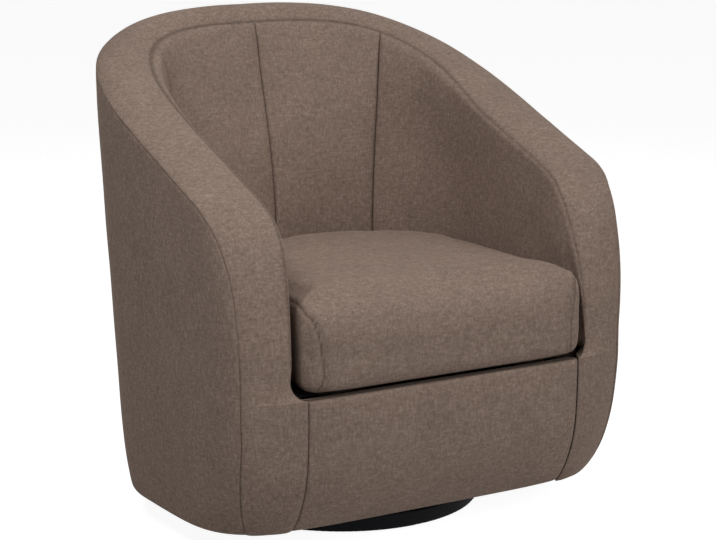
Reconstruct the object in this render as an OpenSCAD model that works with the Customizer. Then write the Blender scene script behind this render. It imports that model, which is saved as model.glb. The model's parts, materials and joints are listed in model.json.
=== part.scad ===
// Upholstered barrel chair on a round swivel base. Millimetres, +Z up, the front faces -Y.
// The origin is on the floor, on the swivel axis.

/* [Body] */
// Widest width of the upholstered body
body_w = 736; // [720:2:760]
// Height of the body's lower edge above the floor
hem_z = 45; // [45:1:51]
// Distance from the swivel axis to the front face
front_y = 320; // [314:2:330]
// Distance from the swivel axis to the back at the lower edge
back_y = 252; // [246:2:262]
// How much further back the top edge lies than the lower edge
back_lean = 114; // [104:2:124]
// Height of the outer seam at the centre of the back
back_h = 760; // [750:2:780]
// Fall of the back and arms per unit of depth
arm_slope = 0.376; // [0.34:0.002:0.40]
// Height below which the body rolls under
hem_roll = 170; // [150:5:190]
// How far the front's lower edge rolls under
hem_tuck = 30; // [24:1:34]

/* [Border band] */
// Width of the border band on the arms
band_arm_w = 101; // [96:1:106]
// Width of the border band at the centre of the back
band_back_w = 71; // [66:1:76]
// Height of the band's crown above its seams on the arms
band_arm_crown = 10; // [6:1:18]
// Height of the band's crown above its seams at the back
band_back_crown = 23; // [14:1:26]

/* [Seat] */
// Height of the front panel's top, where the gap under the cushion is
gap_z = 263; // [260:1:266]
// Half width of the front panel
front_panel_x = 245; // [243:1:247]
// Half width of the seat space
seat_x = 252; // [250:1:256]
// Distance from the swivel axis to the inside back at the cushion
seat_back_y = 210; // [206:1:216]
// Thickness of the loose cushion at its edge
cushion_edge_h = 137; // [130:1:142]
// Extra height of the cushion's crown
cushion_crown = 15; // [10:1:22]

/* [Swivel base] */
// Radius of the round base
base_r = 224; // [200:2:230]
// Thickness of the round base
base_t = 26; // [24:1:28]
// Radius of the ring of bearing balls
race_r = 70; // [66:1:74]
// Number of bearing balls
ball_count = 24; // [16:2:30]

/* [Hidden] */

// Colours of the real materials
cloth = "#84776a";
cloth_shade = "#70635b";
lining = "#3a3a3c";
black = "#1b1b1d";
steel = "#9a9c9e";
zinc = "#b9bbb6";
timber = "#c8a878";
plywood = "#c9ab7f";

// Exponents of the plan's rounded outline: in front at the hem, the middle and the top,
// then behind at the hem and the top
hem_n = 5.2;
front_n = 8.2;
high_n = 12;
back_n = 2.2;
top_n = 2.9;
// Height where the sides are widest, and how far they draw in up to the top
wide_z = 440;
top_draw = 5;
// The front leans back above rake_z, by front_rake over rake_h
rake_z = 270;
rake_h = 250;
front_rake = 51;
// How far the lower edge rolls under at the sides and behind
side_tuck = 7;
back_tuck = 22;
// Extra rounding of the front's lower edge
hem_round = 130;
hem_cut = 26;
// Plan angle of the outer seam at the front corner, and how far it swings back at the hem
seam_p = 130;
hem_swing = 3;
swing_z = 200;
// Side view of the outer seam: the slope ends at bend_y and bends down to drop_z
bend_y = -188;
bend_reach = 57;
drop_z = 314;
drop_reach = 160;
// The inner seam lies this far below the outer one, on the arm and at the back
inner_drop_arm = 0;
inner_drop_back = 8;
// Height of the band's crown where the slope has bent down to the front
bend_crown = 5;
// Inner seam on the arm's front: half width above the gap, setback behind the face,
// and radius of the corner above the front panel
arm_front_x = 272;
arm_front_back = 12;
corner_r = 27;

// Thicknesses: outside skin, inside pad, band, front pad and the sewn lips
skin_t = 6;
pad_t = 24;
pad_edge_t = 3;
band_t = 26;
front_pad_t = 12;
lip = 8;
lip_deep = 10;
lip_t = 2;
seam_gap = 1.2;
// Inside walls: upright up to seat_level, or to level_drop under the seam where that is lower,
// then spreading to the inner seam
seat_level = 390;
level_drop = 80;
seat_n = 2.3;
spread = 1.8;
// Height of the deck under the cushion and how deep the inside pads tuck behind it
deck_z = 260;
deck_t = 6;
tuck_z = 240;
// The inside walls widen by foot_flare over flare_len towards the front
foot_flare = 20;
flare_len = 60;
// The inside pads roll over beside the seam: size at the back, on the arm and at the arm's
// front, then the distance over which the roll runs out and the height where it has gone
roll_back = 9;
roll_arm = 12;
roll_front = 6;
roll_fall = 60;
roll_fade = 60;
// Fullness of the inside back panels between their seams
fullness = 7;
side_seam_step = 5.75;
back_seam_step = 5;

// Pad behind the front panel, deck and its setback behind the front panel
deck_clear = 2;

// Round base on a thin non-slip pad
floor_pad_t = 2;
floor_pad_r = 214;
disc_round = 3;
disc_top = floor_pad_t + base_t;
// Swivel bearing. Balls run between two pressed plates around one bolt
plate_t = 4;
plate_r = 98;
ball_r = 5;
groove_r = 5.05;
race_z = disc_top + 8;
plate_low_top = disc_top + plate_t;
plate_high_z = disc_top + 12;
plate_high_top = plate_high_z + plate_t;
plate_half = 95;
plate_corner = 12;
plate_screw_ring = 88;
plate_screw_r = 2.5;
bolt_r = 6;
bolt_head_r = 12;
bolt_head_h = 7;
bolt_sink_r = 14;
bolt_sink_top = 14;
bolt_top = 59;
nut_h = 10;
washer_t = 2.5;
bearing_gap = 0.1;
cage_r = 80;
cage_t = 2;
swivel_x = 75;
swivel_y = 70;
swivel_r = 4;
swivel_hole_r = 4.2;

// Wooden frame
board_z = hem_z;
board_t = 18;
board_top = board_z + board_t;
board_inset = 7.5;
board_hole_r = 30;
cover_t = 1;
rail_t = 20;
rail_y0 = 45;
rail_y1 = 95;
rail_half = 200;
wall_t = 22;
wall_top = 235;
front_rail_y = 264;
front_rail_t = 26;
back_rail_y = 140;
post_x = 324;
post_w = 34;
post_d = 35;
post_y = 215;
top_rail_deep = 38;
top_rail_t = 18;
top_rail_outer = 0.28;
top_rail_inner = 0.68;

// Seat springs and the deck over them
spring_count = 5;
spring_pitch = 88;
spring_wire_r = 1.9;
spring_swing = 20;
spring_loops = 15;
spring_y0 = -258;
spring_y1 = 150;
spring_z = 238.4;
spring_arch = 12;
clip_w = 14;

// General functions
function clamp01(v) = min(1, max(0, v));
function smooth(v) = let(c = clamp01(v)) c*c*(3 - 2*c);
function mix(a, b, k) = a + (b - a)*k;
function unit(v) = v/norm(v);
function polar(r, p, z) = [r*sin(p), r*cos(p), z];
function flip_x(q) = [-q[0], q[1], q[2]];
function bezier(a, b, c, d, k) = let(j = 1 - k) j*j*j*a + 3*j*j*k*b + 3*j*k*k*c + k*k*k*d;
function superellipse_r(p, a, b, n) = pow(pow(abs(sin(p))/a, n) + pow(abs(cos(p))/b, n), -1/n);

// Outer surface. A plan angle p runs from the back centre, positive towards +X
function rise(z) = clamp01((z - hem_z)/(back_h - hem_z));
function tuck(z, deep) = deep*(1 - sqrt(1 - 0.98*pow(clamp01((hem_z + hem_roll - z)/hem_roll), 2)));
function half_w(z) = body_w/2 - tuck(z, side_tuck) - top_draw*pow(clamp01((z - wide_z)/(back_h - wide_z)), 1.5);
function half_front(z) = front_y - tuck(z, hem_tuck) - front_rake*pow(clamp01((z - rake_z)/rake_h), 2)
  - hem_cut*pow(clamp01((hem_z + hem_round - z)/hem_round), 2);
function half_back(z) = back_y - tuck(z, back_tuck) + back_lean*rise(z);
function corner_n(z) = mix(mix(hem_n, front_n, clamp01((z - hem_z)/200)), high_n,
  clamp01((z - 300)/180));
function outer_r(p, z) = cos(p) < 0 ? superellipse_r(p, half_w(z), half_front(z), corner_n(z))
  : superellipse_r(p, half_w(z), half_back(z), mix(back_n, top_n, rise(z)));
function outer(p, z, inset = 0) = polar(outer_r(p, z) - inset, p, z);
function round_off(k, n) = pow(max(0, 1 - pow(abs(k), n)), 1/n);
function side_x(y, z) = half_w(z)*round_off(y/half_front(z), corner_n(z));
function face_y(x, z) = -half_front(z)*round_off(x/half_w(z), corner_n(z));

// Outer seam. Behind the axis it lies where a sloping plane cuts the outer surface
function seam_z(y) = back_h - arm_slope*(back_y + back_lean - y);
function seam_solve(p, z, n) = n == 0 ? z : seam_solve(p, seam_z(outer(p, z)[1]), n - 1);
function back_seam(p) = outer(p, seam_solve(p, back_h, 8));
// In front of the axis it follows the slope, bends and runs down the front corner
function swung(p, z) = p - hem_swing*clamp01((swing_z - z)/swing_z)*clamp01((p - 90)/(seam_p - 90));
function corner(z) = outer(swung(seam_p, z), z);
function bend_yz(k) = let(top = [bend_y, seam_z(bend_y)], low = [corner(drop_z)[1], drop_z])
  bezier(top, top - bend_reach*unit([1, arm_slope]), low + [0, drop_reach], low, k);

// Stations along one half of the band, from the back centre to the arm's foot
back_steps = 12;
slope_steps = 4;
bend_steps = 8;
arm_foot_steps = 2;
corner_steps = 6;
panel_steps = 6;
slope_end = back_steps + slope_steps;
bend_end = slope_end + bend_steps;
corner_start = bend_end + arm_foot_steps;
corner_end = corner_start + corner_steps;
last = corner_end + panel_steps;
corner_top = gap_z + corner_r;
function foot_z(i) = i <= corner_start ? mix(drop_z, corner_top, (i - bend_end)/arm_foot_steps)
  : i <= corner_end ? corner_top - corner_r*cos(90*(corner_end - i)/corner_steps)
  : mix(gap_z, hem_z, (i - corner_end)/panel_steps);
function side_point(q) = [-side_x(q[0], q[1]), q[0], q[1]];
function outer_seam(i) = i <= back_steps ? flip_x(back_seam(90*i/back_steps))
  : i <= slope_end ? let(y = bend_y*(i - back_steps)/slope_steps) side_point([y, seam_z(y)])
  : i < bend_end ? side_point(bend_yz((i - slope_end)/bend_steps))
  : flip_x(corner(foot_z(i)));
function band_w(i) = mix(band_back_w, band_arm_w, smooth(i/(back_steps + 2)));
function inner_drop(i) = mix(inner_drop_back, inner_drop_arm, smooth(i/back_steps));
// On the arm's front the inner seam lies just behind the face, narrowing down to the front panel
function foot_seam(z) = let(k = sqrt(1 - pow(1 - clamp01((z - gap_z)/corner_r), 2)),
  x = mix(front_panel_x, arm_front_x, k)) [-x, face_y(x, z) + arm_front_back*k, z];
function arm_seam(i) = let(o = outer_seam(i), p = min(90, 90*i/back_steps), w = band_w(i))
  [o[0] + w*sin(p), o[1] - w*cos(p), o[2] - inner_drop(i)];
function inner_seam(i) = i <= slope_end ? arm_seam(i)
  : i >= bend_end ? foot_seam(outer_seam(i)[2])
  : let(k = smooth((i - slope_end)/bend_steps), a = arm_seam(i), f = foot_seam(a[2])) mix(a, f, k);

// Band cross-section: a crowned top, then the underside set in from both seams
crown_steps = 8;
function run(i) = unit(outer_seam(min(last, i + 0.5)) - outer_seam(max(0, i - 0.5))
  + inner_seam(min(last, i + 0.5)) - inner_seam(max(0, i - 0.5)));
function track(i) = mix(run(i), [0, 0, -1], smooth((i - bend_end + 1)/3));
function band_up(i) = i < 0.5 ? [0, 0, 1] : unit(cross(track(i), inner_seam(i) - outer_seam(i)));
function band_down(i) = unit(mix([0, 0, -1], -band_up(i), smooth((i - slope_end)/bend_steps)));
function band_crown(i) = mix(mix(band_back_crown, band_arm_crown, smooth(i/back_steps)), bend_crown,
  smooth((i - back_steps)/(bend_end - back_steps)));
function crown_shape(s) = 1 - pow(abs(2*s - 1), 2.3);
function band_section(i) = let(o = outer_seam(i), w = inner_seam(i) - o, n = norm(w),
  u = band_up(i), d = band_down(i), h = band_crown(i), a = lip/n, b = (lip + lip_deep)/n)
  concat([for (s = [0:crown_steps]) o + w*s/crown_steps + u*h*crown_shape(s/crown_steps)],
    [o + w*(1 - a) + d*lip_t, o + w*(1 - b) + d*band_t, o + w*b + d*band_t, o + w*a + d*lip_t]);

// Closed solids with triangle faces: a slab between two grids, and a tube through equal rings
function grid_faces(rows, cols, at, turned) = [for (r = [0:rows - 2], c = [0:cols - 2], half = [0, 1])
  let(a = at + r*cols + c, d = a + cols, f = half == 0 ? [a, a + 1, d + 1] : [a, d + 1, d])
  turned ? [f[2], f[1], f[0]] : f];
function edge_loop(rows, cols) = concat([for (c = [0:cols - 2]) c],
  [for (r = [0:rows - 2]) r*cols + cols - 1],
  [for (c = [cols - 1:-1:1]) (rows - 1)*cols + c], [for (r = [rows - 1:-1:1]) r*cols]);
module slab(front, back) {
  rows = len(front);
  cols = len(front[0]);
  count = rows*cols;
  loop = edge_loop(rows, cols);
  rim = [for (k = [0:len(loop) - 1], half = [0, 1])
    let(a = loop[k], b = loop[(k + 1) % len(loop)])
    half == 0 ? [a, a + count, b + count] : [a, b + count, b]];
  polyhedron(concat([for (r = front, q = r) q], [for (r = back, q = r) q]),
    concat(grid_faces(rows, cols, 0, false), grid_faces(rows, cols, count, true), rim), convexity = 6);
}
module skin_tube(rings) {
  n = len(rings[0]);
  m = len(rings);
  sides = [for (r = [0:m - 2], k = [0:n - 1], half = [0, 1])
    let(a = r*n + k, b = r*n + (k + 1) % n) half == 0 ? [a, b + n, b] : [a, a + n, b + n]];
  caps = concat([for (k = [1:n - 2]) [0, k, k + 1]],
    [for (k = [1:n - 2]) [(m - 1)*n, (m - 1)*n + k + 1, (m - 1)*n + k]]);
  polyhedron([for (r = rings, q = r) q], concat(sides, caps), convexity = 8);
}
function span(a, b, steps) = [for (k = [0:steps]) mix(a, b, k/steps)];

// Outside panels. Columns stand at plan angles, rows run from below the seam to the hem
skin_rows = 9;
function skin_point(i, k, inset) = let(top = outer_seam(i), p = atan2(-top[0], top[1]),
  z = mix(top[2] - seam_gap - lip_t, hem_z, k)) flip_x(outer(swung(p, z), z, inset));
function skin_grid(stations, inset) = [for (k = span(0, 1, skin_rows - 1))
  [for (i = stations) i < 0 ? flip_x(skin_point(-i, k, inset)) : skin_point(i, k, inset)]];
module outside_panel(stations) {
  color(cloth_shade) slab(skin_grid(stations, 0), skin_grid(stations, skin_t));
}
module outside_left() {
  outside_panel(span(back_seam_step + 0.03, bend_end - 0.06, 20));
}
module outside_right() {
  mirror([1, 0, 0]) outside_left();
}
module outside_back() {
  outside_panel(span(-back_seam_step, back_seam_step, 12));
}

// The border band runs from one arm's foot over the back to the other
module border_band() {
  half = [for (i = [last:-1:1]) band_section(i)];
  other = [for (i = [0:last]) [for (q = band_section(i)) flip_x(q)]];
  color(cloth) skin_tube(concat(half, other));
}

// Inside pads, from the inner seam down behind the deck. Rows lie closer beside the seam; at the
// arm's front, where the seam runs downwards, they lie at fixed heights
pad_rows = [0, 0.02, 0.06, 0.12, 0.22, 0.34, 0.48, 0.62, 0.8, 1];
// The fixed heights, where the first row keeps to the seam, their least spacing under the seam,
// and the number of stations over which they take over
front_rows = [back_h, 340, 325, 310, 298, 290, 281, 272, 262, tuck_z];
front_row_gap = 1.5;
front_blend = 5;
// At the arm's front the pad stays this far behind and below the band's edge
front_behind = 1.2;
front_below = 3;
function front_share(i) = smooth((i - slope_end - 2)/6);
function pad_start(i) = inner_seam(i)[2] - seam_gap - lip_t - front_below*front_share(i);
function row_z(r, i) = let(start = pad_start(i)) mix(mix(start, tuck_z, pad_rows[r]),
  min(start - front_row_gap*r, front_rows[r]), smooth((i - slope_end - 0.5)/front_blend));
function seat_r(p) = superellipse_r(p, seat_x, seat_back_y, seat_n);
function pad_front_y() = inner_seam(bend_end)[1];
function pad_foot(top) = top[1] < 0
  ? [-seat_x - foot_flare*(1 - smooth((top[1] - pad_front_y())/flare_len)), top[1]]
  : let(p = atan2(-top[0], top[1]), r = seat_r(p)) [-r*sin(p), r*cos(p)];
function pad_out(top) = top[1] < 0 ? [-1, 0] : unit([top[0], top[1]]);
function roll_size(i) = mix(mix(roll_back, roll_arm, smooth((i - 2)/(back_steps - 3))), roll_front,
  smooth((i - slope_end + 1)/bend_steps));
function roll(deep, size) = deep < size ? size*sqrt(1 - pow(1 - deep/size, 2))
  : size*(1 - smooth((deep - size)/roll_fall));
function pad_point(i, z, s, back) = let(top = inner_seam(i), foot = pad_foot(top), start = pad_start(i),
  level = min(seat_level, start - level_drop), up = pow(clamp01((z - level)/(start - level)), spread),
  flat = norm([run(i)[0], run(i)[1]]),
  deep = min((start - z)*flat, top[1] - pad_front_y()),
  thick = back ? mix(pad_edge_t, pad_t, smooth((deep - band_t - 10)/40)) : 0,
  dip = i < side_seam_step ? abs(2*s - 1) : max(0, 1 - 2*s),
  hollow = fullness*pow(dip, 4)*smooth((start - z)/80),
  inward = back ? 0 : roll(deep, roll_size(i))*smooth((z - level)/roll_fade),
  stop = mix(band_t + 22 - front_y, -front_y, smooth((z - 2 - gap_z)/25)),
  squeeze = top[1] < 0 ? min(1, stop/pad_front_y()) : 1,
  q = mix(foot, [top[0], top[1]], up) + pad_out(top)*(thick + hollow - inward))
  [q[0], q[1]*squeeze + front_behind*front_share(i), z];
function pad_grid(a, b, steps, back) = [for (r = [0:len(pad_rows) - 1])
  [for (c = [0:steps]) let(i = mix(a, b, c/steps)) pad_point(i, row_z(r, i), c/steps, back)]];
module inside_pad(a, b, steps) {
  color(cloth) slab(pad_grid(a, b, steps, true), pad_grid(a, b, steps, false));
}
module inside_back_left() {
  inside_pad(0.04, side_seam_step - 0.04, 8);
}
module inside_back_right() {
  mirror([1, 0, 0]) inside_back_left();
}
module inside_arm_left() {
  inside_pad(side_seam_step + 0.04, bend_end - 0.06, 18);
}
module inside_arm_right() {
  mirror([1, 0, 0]) inside_arm_left();
}

// Front panel between the two feet of the band
panel_rows = 8;
panel_cols = 12;
function panel_grid(inset) = [for (k = span(0, 1, panel_rows))
  [for (s = span(1, -1, panel_cols)) let(x = s*(front_panel_x - 1), z = mix(gap_z, hem_z, k))
    [x, face_y(x, z) + inset, z]]];
module front_panel() {
  color(cloth_shade) slab(panel_grid(front_pad_t), panel_grid(0));
}

// Plans cut as flat sheets
function plan(inset, z, a, b) = [for (p = span(a, b, 48)) let(q = outer(p, z, inset)) [q[0], q[1]]];
board_turn = 122;
board_step_x = 238;
module frame_plan(inset) {
  front = half_front(board_z) - front_pad_t - inset;
  polygon(concat(plan(inset, board_z, -board_turn, board_turn),
    [[board_step_x, 20 - front], [board_step_x, -front], [-board_step_x, -front],
    [-board_step_x, 20 - front]]));
}
module seat_plan(inset) {
  front = half_front(deck_z) - front_pad_t - deck_clear;
  step = front - band_t;
  arc = [for (k = [0:36]) let(p = mix(-90, 90, k/36), r = seat_r(p) - inset) [r*sin(p), r*cos(p)]];
  polygon(concat(arc, [[seat_x - inset, -step], [front_panel_x - 5, -step],
    [front_panel_x - 5, -front], [5 - front_panel_x, -front], [5 - front_panel_x, -step],
    [inset - seat_x, -step]]));
}
module four_at(x, y) {
  for (i = [-1, 1], j = [-1, 1]) translate([i*x, j*y, 0]) children();
}
module ring_of(count, r) {
  for (k = [0:count - 1]) rotate(360*k/count) translate([r, 0, 0]) children();
}
module rod(r, z0, z1) {
  translate([0, 0, z0]) cylinder(r = r, h = z1 - z0);
}
module block(x0, x1, y0, y1, z0, z1) {
  translate([x0, y0, z0]) cube([x1 - x0, y1 - y0, z1 - z0]);
}

// Fixed base: pad, disc and lower bearing plate
module floor_pad() {
  color(lining) rod(floor_pad_r, 0, floor_pad_t);
}
module base_disc() {
  color(black) difference() {
    rotate_extrude() {
      translate([0, floor_pad_t]) square([base_r - disc_round, base_t]);
      translate([0, floor_pad_t + disc_round]) square([base_r, base_t - 2*disc_round]);
      translate([base_r - disc_round, floor_pad_t + disc_round]) circle(r = disc_round);
      translate([base_r - disc_round, disc_top - disc_round]) circle(r = disc_round);
    }
    rod(bolt_r + 0.1, 0, disc_top + 1);
    rod(bolt_sink_r, 0, bolt_sink_top);
    ring_of(4, plate_screw_ring) rod(plate_screw_r + 0.05, bolt_sink_top, disc_top + 1);
  }
}
module race_groove() {
  rotate_extrude() translate([race_r, race_z]) circle(r = groove_r);
}
module lower_plate() {
  color(steel) difference() {
    rod(plate_r, disc_top, plate_low_top);
    race_groove();
    rod(bolt_r + 0.1, disc_top - 1, plate_low_top + 1);
    ring_of(4, plate_screw_ring) rod(plate_screw_r + 0.05, disc_top - 1, plate_low_top + 1);
  }
}
module lower_plate_screws() {
  color(zinc) ring_of(4, plate_screw_ring) {
    rod(4.5, plate_low_top, plate_low_top + 2.5);
    rod(plate_screw_r, bolt_sink_top, plate_low_top);
  }
}
module pivot_bolt() {
  color(zinc) {
    translate([0, 0, bolt_sink_top - bolt_head_h]) cylinder(r = bolt_head_r, h = bolt_head_h, $fn = 6);
    rod(bolt_r, bolt_sink_top, bolt_top);
  }
}
washer_z = plate_high_top + bearing_gap;
nut_z = washer_z + washer_t;
module pivot_washer() {
  color(zinc) difference() {
    rod(15, washer_z, nut_z);
    rod(bolt_r + 0.1, washer_z - 1, nut_z + 1);
  }
}
module pivot_nut() {
  color(zinc) difference() {
    translate([0, 0, nut_z]) cylinder(r = 10.5, h = nut_h, $fn = 6);
    rod(bolt_r + 0.05, nut_z - 1, nut_z + nut_h + 1);
  }
}

// Ball cage, which turns at half the seat's speed
module ball_cage() {
  color(steel) difference() {
    rod(cage_r, race_z - cage_t/2, race_z + cage_t/2);
    rod(12, race_z - cage_t, race_z + cage_t);
    ring_of(ball_count, race_r) rod(ball_r + 0.15, race_z - cage_t, race_z + cage_t);
  }
}
module bearing_balls() {
  color(zinc) ring_of(ball_count, race_r) translate([0, 0, race_z]) sphere(r = ball_r);
}

// Upper bearing plate and the bolts that hold it under the wooden frame
module upper_plate() {
  color(steel) difference() {
    union() {
      block(plate_corner - plate_half, plate_half - plate_corner, -plate_half, plate_half,
        plate_high_z, plate_high_top);
      block(-plate_half, plate_half, plate_corner - plate_half, plate_half - plate_corner,
        plate_high_z, plate_high_top);
      four_at(plate_half - plate_corner, plate_half - plate_corner)
        rod(plate_corner, plate_high_z, plate_high_top);
    }
    race_groove();
    rod(bolt_r + 0.06, plate_high_z - 1, plate_high_top + 1);
    four_at(swivel_x, swivel_y) rod(swivel_hole_r, plate_high_z - 1, plate_high_top + 1);
  }
}
tee_z = board_top + 10;
rail_top = board_top + rail_t;
swivel_washer_z = plate_high_z - 1.6;
module swivel_bolts() {
  color(zinc) four_at(swivel_x, swivel_y) {
    translate([0, 0, swivel_washer_z - 5]) cylinder(r = 7, h = 5, $fn = 6);
    rod(swivel_r, swivel_washer_z, rail_top + 3);
  }
}
module swivel_bolt_washers() {
  color(zinc) difference() {
    four_at(swivel_x, swivel_y) rod(8, swivel_washer_z, plate_high_z);
    four_at(swivel_x, swivel_y) rod(swivel_hole_r, swivel_washer_z - 1, plate_high_z + 1);
  }
}
module tee_nuts() {
  color(zinc) difference() {
    four_at(swivel_x, swivel_y) {
      rod(5.5, tee_z, rail_top);
      rod(10, rail_top, rail_top + 1.5);
    }
    four_at(swivel_x, swivel_y) rod(swivel_r + 0.05, tee_z - 1, rail_top + 3);
  }
}
module dust_cover() {
  color(lining) difference() {
    translate([0, 0, board_z - cover_t]) linear_extrude(cover_t) frame_plan(board_inset + 8);
    rod(board_hole_r, board_z - 2, board_z + 1);
    four_at(swivel_x, swivel_y) rod(swivel_hole_r, board_z - 2, board_z + 1);
  }
}
module base_board() {
  color(plywood) difference() {
    translate([0, 0, board_z]) linear_extrude(board_t) frame_plan(board_inset);
    rod(board_hole_r, board_z - 1, board_top + 1);
    four_at(swivel_x, swivel_y) rod(swivel_hole_r, board_z - 1, board_top + 1);
  }
}
module swivel_rail(side) {
  color(timber) difference() {
    block(-rail_half, rail_half, side > 0 ? rail_y0 : -rail_y1, side > 0 ? rail_y1 : -rail_y0,
      board_top, rail_top);
    four_at(swivel_x, swivel_y) {
      rod(swivel_hole_r, board_top - 1, rail_top);
      rod(5.55, tee_z, rail_top + 1);
    }
  }
}
module swivel_rail_front() {
  swivel_rail(-1);
}
module swivel_rail_back() {
  swivel_rail(1);
}

// Seat box
wall_out = seat_x + 2;
wall_in = wall_out - wall_t;
module front_rail() {
  color(timber) block(-board_step_x, board_step_x, -front_rail_y, front_rail_t - front_rail_y,
    board_top, wall_top);
}
module side_rail_left() {
  color(timber) block(-wall_out, -wall_in, front_rail_t - front_rail_y, back_rail_y,
    board_top, wall_top);
}
module side_rail_right() {
  mirror([1, 0, 0]) side_rail_left();
}
module back_rail() {
  color(timber) block(-wall_out, wall_out, back_rail_y, back_rail_y + wall_t, board_top, wall_top);
}
module corner_blocks() {
  side = 60;
  low = front_rail_t - front_rail_y;
  color(timber) translate([0, 0, wall_top - 85]) linear_extrude(85) {
    polygon([[-wall_in, low], [side - wall_in, low], [-wall_in, low + side]]);
    polygon([[wall_in, low], [wall_in, low + side], [wall_in - side, low]]);
    polygon([[-wall_in, back_rail_y], [-wall_in, back_rail_y - side], [side - wall_in, back_rail_y]]);
    polygon([[wall_in, back_rail_y], [wall_in - side, back_rail_y], [wall_in, back_rail_y - side]]);
  }
}

// Posts and the bent plywood rail that carries the border band
tilt = atan(arm_slope);
rail_low = (top_rail_deep + top_rail_t)/cos(tilt);
function under_rail(y) = seam_z(y) - rail_low;
module arm_post_left() {
  color(timber) translate([-post_x, 0, 0]) rotate([90, 0, 90]) linear_extrude(post_w)
    polygon([[-post_y, board_top], [post_d - post_y, board_top],
      [post_d - post_y, under_rail(post_d - post_y)], [-post_y, under_rail(-post_y)]]);
}
module arm_post_right() {
  mirror([1, 0, 0]) arm_post_left();
}
// A leaning post at plan angle p: its foot and its head reach out to these distances
module leaning_post(p, foot_r, head_r) {
  deep = 23;
  half = 22;
  along = [cos(p), -sin(p), 0];
  function foot(r, s) = polar(r, p, board_top) + along*s;
  function head(r, s) = let(q = polar(r, p, 0) + along*s) [q[0], q[1], under_rail(q[1])];
  function face(d) = [[head(head_r - d, half), head(head_r - d, -half)],
    [foot(foot_r - d, half), foot(foot_r - d, -half)]];
  color(timber) slab(face(0), face(deep));
}
module side_post_right() {
  leaning_post(80, 331, 333);
}
module side_post_left() {
  mirror([1, 0, 0]) side_post_right();
}
module back_post_right() {
  leaning_post(30, 247, 353);
}
module back_post_left() {
  mirror([1, 0, 0]) back_post_right();
}
function rail_point(i, k, deep) = let(q = mix(outer_seam(i), inner_seam(i), k))
  [q[0], q[1], seam_z(q[1]) - deep/cos(tilt)];
function rail_section(i) = [rail_point(i, top_rail_outer, top_rail_deep),
  rail_point(i, top_rail_inner, top_rail_deep),
  rail_point(i, top_rail_inner, top_rail_deep + top_rail_t),
  rail_point(i, top_rail_outer, top_rail_deep + top_rail_t)];
module top_rail() {
  half = [for (i = [slope_end:-1:1]) rail_section(i)];
  other = [for (i = [0:slope_end]) [for (q = rail_section(i)) flip_x(q)]];
  color(plywood) skin_tube(concat(half, other));
}

// Zigzag springs from the front rail to the back rail, each end under a clip
module spring_clips() {
  color(steel) for (k = [0:spring_count - 1], y = [spring_y0, spring_y1])
    translate([(k - (spring_count - 1)/2)*spring_pitch - clip_w/2, y, spring_z])
      rotate([90, 0, 90]) linear_extrude(clip_w) difference() {
        union() {
          circle(r = 3.2);
          translate([y < 0 ? 0 : -10, wall_top - spring_z]) square([10, 1.2]);
        }
        circle(r = spring_wire_r + 0.05);
      }
}
spring_sides = 4;
function spring_at(s) = [spring_swing*max(-1, min(1, 1.6*cos(180*s*spring_loops))),
  mix(spring_y0 + 10, spring_y1 - 10, s), spring_z + spring_arch*sin(180*s)];
spring_end = clip_w/2 + 3;
function spring_path() = concat([[-spring_end, spring_y0, spring_z], [spring_end, spring_y0, spring_z]],
  [for (n = [0:spring_loops*4]) spring_at(n/(spring_loops*4))],
  [[-spring_end, spring_y1, spring_z], [spring_end, spring_y1, spring_z]]);
function wire_ring(path, i) = let(m = len(path), way = unit(path[min(m - 1, i + 1)] - path[max(0, i - 1)]),
  side = unit(cross(way, [0, 0, 1])), up = cross(side, way))
  [for (k = [0:spring_sides - 1]) let(a = 360*k/spring_sides)
    path[i] + spring_wire_r*(side*cos(a) - up*sin(a))];
module seat_springs() {
  path = spring_path();
  rings = [for (i = [0:len(path) - 1]) wire_ring(path, i)];
  color(steel) for (k = [0:spring_count - 1])
    translate([(k - (spring_count - 1)/2)*spring_pitch, 0, 0]) skin_tube(rings);
}
module deck_cloth() {
  color(lining) translate([0, 0, deck_z - deck_t]) linear_extrude(deck_t) seat_plan(deck_clear);
}

// Loose cushion: D-shaped plan, crowned top, waterfall front, drawn-in lower edge
cushion_x = 245;
cushion_back = seat_back_y - 3;
cushion_front = front_y + 6;
cushion_front_n = 16;
cushion_shift = 5;
cushion_flare = 20;
cushion_flare_y = -308;
cushion_pull = [cushion_shift, -60];
// Radius of the waterfall front, at its middle and beside the gussets
waterfall_mid = 56;
waterfall_side = 28;
cushion_z = deck_z + 0.5;
cushion_cols = 48;
function cushion_plan(p) = superellipse_r(p, cushion_x, cos(p) < 0 ? cushion_front : cushion_back,
  cos(p) < 0 ? cushion_front_n : seat_n);
// Each ring: share of the plan's size, share of the edge's height, share of the crown
cushion_profile = [[0.9, 0, 0], [0.905, 0.045, 0], [0.975, 0.07, 0], [0.995, 0.12, 0],
  [1, 0.32, 0], [0.997, 0.55, 0], [1, 0.78, 0], [0.992, 0.91, 0], [0.968, 1, 0.08],
  [0.92, 1, 0.38], [0.84, 1, 0.62], [0.70, 1, 0.80], [0.48, 1, 0.92], [0.25, 1, 0.98]];
function cushion_widen(y) = 1 + cushion_flare/cushion_x*(1 - smooth((y - cushion_flare_y)/flare_len));
function waterfall(x, y) = let(r = mix(waterfall_mid, waterfall_side, pow(min(1, abs(x)/cushion_x), 4)))
  r*(1 - sqrt(1 - pow(clamp01(1 - (y + cushion_front)/r), 2)));
function cushion_point(p, g) = let(r = cushion_plan(p), y = r*cos(p),
  q = [r*sin(p)*cushion_widen(y) + cushion_shift, y], c = cushion_pull + (q - cushion_pull)*g[0])
  [c[0], c[1], cushion_z + cushion_edge_h*g[1] + cushion_crown*g[2] - waterfall(c[0], c[1])*g[1]*g[1]];
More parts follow.
